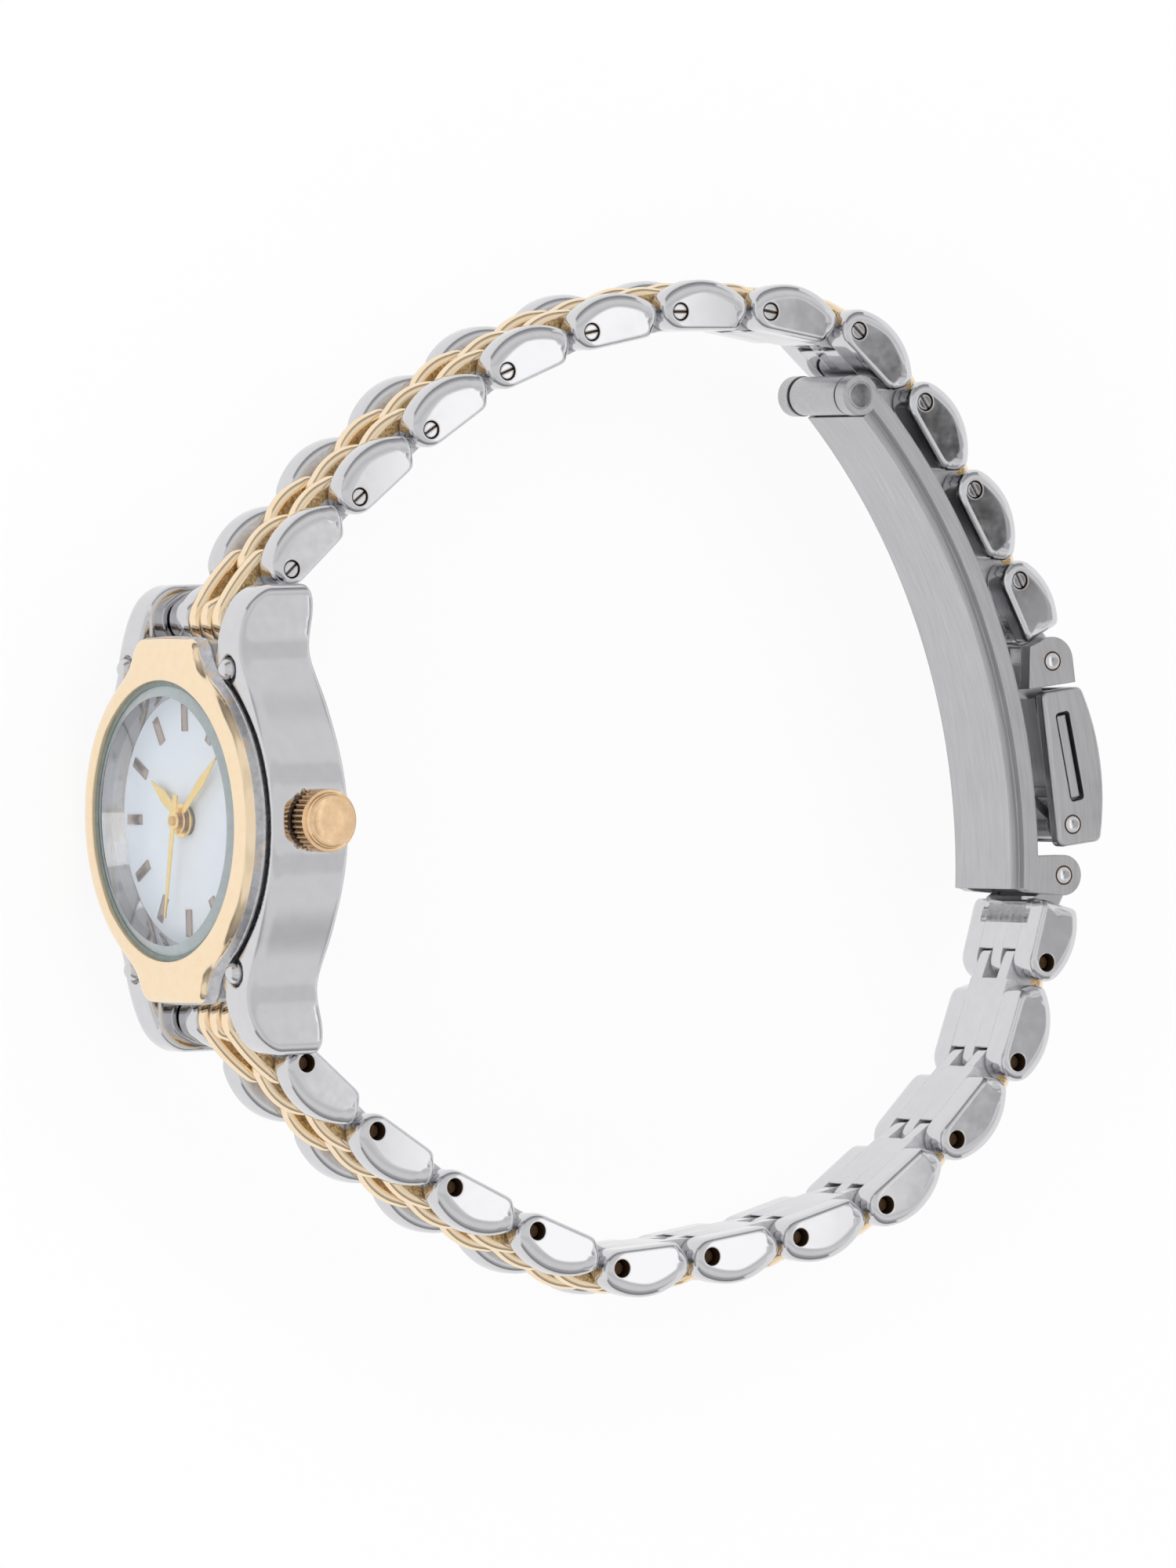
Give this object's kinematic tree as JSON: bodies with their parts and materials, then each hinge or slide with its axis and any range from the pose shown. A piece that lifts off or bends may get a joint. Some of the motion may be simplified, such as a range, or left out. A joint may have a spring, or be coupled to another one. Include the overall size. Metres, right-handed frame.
{
  "type": "bracelet watch",
  "caption": "Small round watch on a closed ring of hinged two-tone links, with a crown, a baton dial, three hands and a fold-over clasp.",
  "frame": {"origin": "centre of the case back's outer face", "axes": "+X out of the case back, so the dial faces -X and the clasp is at +X; +Y towards 12 o'clock; +Z towards the crown at 3 o'clock"},
  "size_m": [0.0653, 0.0622, 0.0236],
  "materials": {
    "polished_steel": "polished",
    "brushed_steel": "brushed",
    "gold_tone": "polished",
    "pale_dial": "gloss",
    "dark_markers": "polished",
    "crystal_glass": "clear",
    "seal_rubber": "matte",
    "holder_plastic": "matte",
    "circuit_green": "satin",
    "movement_metal": "satin",
    "coil_copper": "satin",
    "brass_work": "satin"
  },
  "bodies": {
    "watch_head": {"case_body": "polished_steel", "case_back": "polished_steel", "case_back_gasket": "seal_rubber", "bezel": "gold_tone", "crystal": "crystal_glass", "crystal_gasket": "seal_rubber", "rehaut_ring": "polished_steel", "dial": "pale_dial", "hour_markers": "dark_markers", "corner_beads": "polished_steel", "movement_holder": "holder_plastic", "movement_plate": "movement_metal", "circuit_bridge": "circuit_green", "battery": "movement_metal", "battery_clip": "movement_metal", "coil": "coil_copper", "crown_tube": "polished_steel", "spring_bar_12": "polished_steel"},
    "crown_slider": {"crown_gasket": "seal_rubber"},
    "crown": {"crown": "gold_tone", "stem": "polished_steel"},
    "hour_work": {"hour_hand": "gold_tone", "hour_pipe": "brass_work"},
    "minute_work": {"minute_hand": "gold_tone", "cannon_pinion": "brass_work"},
    "second_work": {"second_hand": "gold_tone", "seconds_arbor": "brass_work"},
    "end_link_12": {"end_link_12": "polished_steel"},
    "upper_link_01": {"upper_link_01": "polished_steel"},
    "upper_link_02": {"upper_link_02": "polished_steel"},
    "upper_link_03": {"upper_link_03": "polished_steel"},
    "upper_link_04": {"upper_link_04": "polished_steel"},
    "upper_link_05": {"upper_link_05": "polished_steel"},
    "upper_link_06": {"upper_link_06": "polished_steel"},
    "upper_link_07": {"upper_link_07": "polished_steel"},
    "upper_link_08": {"upper_link_08": "polished_steel"},
    "upper_link_09": {"upper_link_09": "polished_steel"},
    "upper_link_10": {"upper_link_10": "polished_steel"},
    "upper_link_11": {"upper_link_11": "polished_steel"},
    "clasp_cover": {"clasp_bracket": "polished_steel", "bracket_spring_bar": "polished_steel", "adjuster_bar": "brushed_steel", "clasp_cover": "brushed_steel", "cover_hinge_pin": "polished_steel"},
    "fold_blade": {"fold_blade": "brushed_steel"},
    "base_blade": {"base_blade": "brushed_steel", "base_blade_pins": "polished_steel"},
    "lower_link_11": {"lower_link_11": "polished_steel"},
    "lower_link_10": {"lower_link_10": "polished_steel"},
    "lower_link_09": {"lower_link_09": "polished_steel"},
    "lower_link_08": {"lower_link_08": "polished_steel"},
    "lower_link_07": {"lower_link_07": "polished_steel"},
    "lower_link_06": {"lower_link_06": "polished_steel"},
    "lower_link_05": {"lower_link_05": "polished_steel"},
    "lower_link_04": {"lower_link_04": "polished_steel"},
    "lower_link_03": {"lower_link_03": "polished_steel"},
    "lower_link_02": {"lower_link_02": "polished_steel"},
    "lower_link_01": {"lower_link_01": "polished_steel"},
    "end_link_6": {"end_link_6": "polished_steel", "spring_bar_6": "polished_steel"}
  },
  "joints": [
    {"name": "crown_pull", "type": "slide", "parent": "watch_head", "child": "crown_slider", "axis": [0, 0, 1], "range_m": [0, 0.001]},
    {"name": "crown_turn", "type": "hinge", "parent": "crown_slider", "child": "crown", "pos_m": [-0.00285, 0, 0.012], "axis": [0, 0, 1], "continuous": true},
    {"name": "hour_hand_turn", "type": "hinge", "parent": "watch_head", "child": "hour_work", "pos_m": [-0.0055, 0, 0], "axis": [1, 0, 0], "continuous": true},
    {"name": "minute_hand_turn", "type": "hinge", "parent": "watch_head", "child": "minute_work", "pos_m": [-0.0055, 0, 0], "axis": [1, 0, 0], "continuous": true},
    {"name": "second_hand_turn", "type": "hinge", "parent": "watch_head", "child": "second_work", "pos_m": [-0.0055, 0, 0], "axis": [1, 0, 0], "continuous": true},
    {"name": "spring_bar_12_hinge", "type": "hinge", "parent": "watch_head", "child": "end_link_12", "pos_m": [-0.00265, 0.0121, 0], "axis": [0, 0, 1], "range_deg": [0, 38]},
    {"name": "upper_pin_01_hinge", "type": "hinge", "parent": "end_link_12", "child": "upper_link_01", "pos_m": [-0.00026, 0.01505, 0], "axis": [0, 0, 1], "range_deg": [0, 10]},
    {"name": "upper_pin_02_hinge", "type": "hinge", "parent": "upper_link_01", "child": "upper_link_02", "pos_m": [0.00465, 0.01932, 0], "axis": [0, 0, 1], "range_deg": [0, 3.5]},
    {"name": "upper_pin_03_hinge", "type": "hinge", "parent": "upper_link_02", "child": "upper_link_03", "pos_m": [0.0098, 0.02327, 0], "axis": [0, 0, 1], "range_deg": [0, 5.5]},
    {"name": "upper_pin_04_hinge", "type": "hinge", "parent": "upper_link_03", "child": "upper_link_04", "pos_m": [0.01532, 0.02672, 0], "axis": [0, 0, 1], "range_deg": [0, 11.5]},
    {"name": "upper_pin_05_hinge", "type": "hinge", "parent": "upper_link_04", "child": "upper_link_05", "pos_m": [0.0214, 0.029, 0], "axis": [0, 0, 1], "range_deg": [0, 10.5]},
    {"name": "upper_pin_06_hinge", "type": "hinge", "parent": "upper_link_05", "child": "upper_link_06", "pos_m": [0.02781, 0.03012, 0], "axis": [0, 0, 1], "range_deg": [0, 11]},
    {"name": "upper_pin_07_hinge", "type": "hinge", "parent": "upper_link_06", "child": "upper_link_07", "pos_m": [0.0343, 0.03001, 0], "axis": [0, 0, 1], "range_deg": [0, 10.5]},
    {"name": "upper_pin_08_hinge", "type": "hinge", "parent": "upper_link_07", "child": "upper_link_08", "pos_m": [0.04067, 0.02871, 0], "axis": [0, 0, 1], "range_deg": [0, 32]},
    {"name": "upper_pin_09_hinge", "type": "hinge", "parent": "upper_link_08", "child": "upper_link_09", "pos_m": [0.04539, 0.02424, 0], "axis": [0, 0, 1], "range_deg": [0, 14]},
    {"name": "upper_pin_10_hinge", "type": "hinge", "parent": "upper_link_09", "child": "upper_link_10", "pos_m": [0.04888, 0.01876, 0], "axis": [0, 0, 1], "range_deg": [0, 3.5]},
    {"name": "upper_pin_11_hinge", "type": "hinge", "parent": "upper_link_10", "child": "upper_link_11", "pos_m": [0.05203, 0.01307, 0], "axis": [0, 0, 1], "range_deg": [0, 3.5]},
    {"name": "bracket_hinge", "type": "hinge", "parent": "upper_link_11", "child": "clasp_cover", "pos_m": [0.05444, 0.00802, 0], "axis": [0, 0, 1], "range_deg": [0, 19.5]},
    {"name": "clasp_cover_hinge", "type": "hinge", "parent": "clasp_cover", "child": "fold_blade", "pos_m": [0.05551, -0.00213, 0], "axis": [0, 0, 1], "range_deg": [0, 100]},
    {"name": "clasp_fold_hinge", "type": "hinge", "parent": "fold_blade", "child": "base_blade", "pos_m": [0.0409, 0.02475, 0], "axis": [0, 0, 1], "range_deg": [-100, 0]},
    {"name": "foot_pin_hinge", "type": "hinge", "parent": "base_blade", "child": "lower_link_11", "pos_m": [0.055, -0.00526, 0], "axis": [0, 0, 1], "range_deg": [0, 15]},
    {"name": "lower_pin_11_hinge", "type": "hinge", "parent": "lower_link_11", "child": "lower_link_10", "pos_m": [0.05336, -0.01062, 0], "axis": [0, 0, 1], "range_deg": [0, 3.5]},
    {"name": "lower_pin_10_hinge", "type": "hinge", "parent": "lower_link_10", "child": "lower_link_09", "pos_m": [0.05109, -0.0167, 0], "axis": [0, 0, 1], "range_deg": [0, 24.5]},
    {"name": "lower_pin_09_hinge", "type": "hinge", "parent": "lower_link_09", "child": "lower_link_08", "pos_m": [0.04649, -0.0213, 0], "axis": [0, 0, 1], "range_deg": [0, 9]},
    {"name": "lower_pin_08_hinge", "type": "hinge", "parent": "lower_link_08", "child": "lower_link_07", "pos_m": [0.04123, -0.02512, 0], "axis": [0, 0, 1], "range_deg": [0, 20.5]},
    {"name": "lower_pin_07_hinge", "type": "hinge", "parent": "lower_link_07", "child": "lower_link_06", "pos_m": [0.03497, -0.02686, 0], "axis": [0, 0, 1], "range_deg": [0, 7.5]},
    {"name": "lower_pin_06_hinge", "type": "hinge", "parent": "lower_link_06", "child": "lower_link_05", "pos_m": [0.02853, -0.02776, 0], "axis": [0, 0, 1], "range_deg": [0, 4]},
    {"name": "lower_pin_05_hinge", "type": "hinge", "parent": "lower_link_05", "child": "lower_link_04", "pos_m": [0.02205, -0.02822, 0], "axis": [0, 0, 1], "range_deg": [0, 27]},
    {"name": "lower_pin_04_hinge", "type": "hinge", "parent": "lower_link_04", "child": "lower_link_03", "pos_m": [0.01606, -0.02568, 0], "axis": [0, 0, 1], "range_deg": [0, 3.5]},
    {"name": "lower_pin_03_hinge", "type": "hinge", "parent": "lower_link_03", "child": "lower_link_02", "pos_m": [0.01025, -0.02278, 0], "axis": [0, 0, 1], "range_deg": [0, 7.5]},
    {"name": "lower_pin_02_hinge", "type": "hinge", "parent": "lower_link_02", "child": "lower_link_01", "pos_m": [0.00486, -0.01914, 0], "axis": [0, 0, 1], "range_deg": [0, 7.5]},
    {"name": "lower_pin_01_hinge", "type": "hinge", "parent": "lower_link_01", "child": "end_link_6", "pos_m": [-0.00001, -0.01483, 0], "axis": [0, 0, 1], "range_deg": [0, 4.5]}
  ],
  "couplings": [
    {"joint": "minute_hand_turn", "follows": "second_hand_turn", "ratio": 0.016667},
    {"joint": "hour_hand_turn", "follows": "second_hand_turn", "ratio": 0.0013889},
    {"joint": "clasp_fold_hinge", "follows": "clasp_cover_hinge", "ratio": -1}
  ]
}
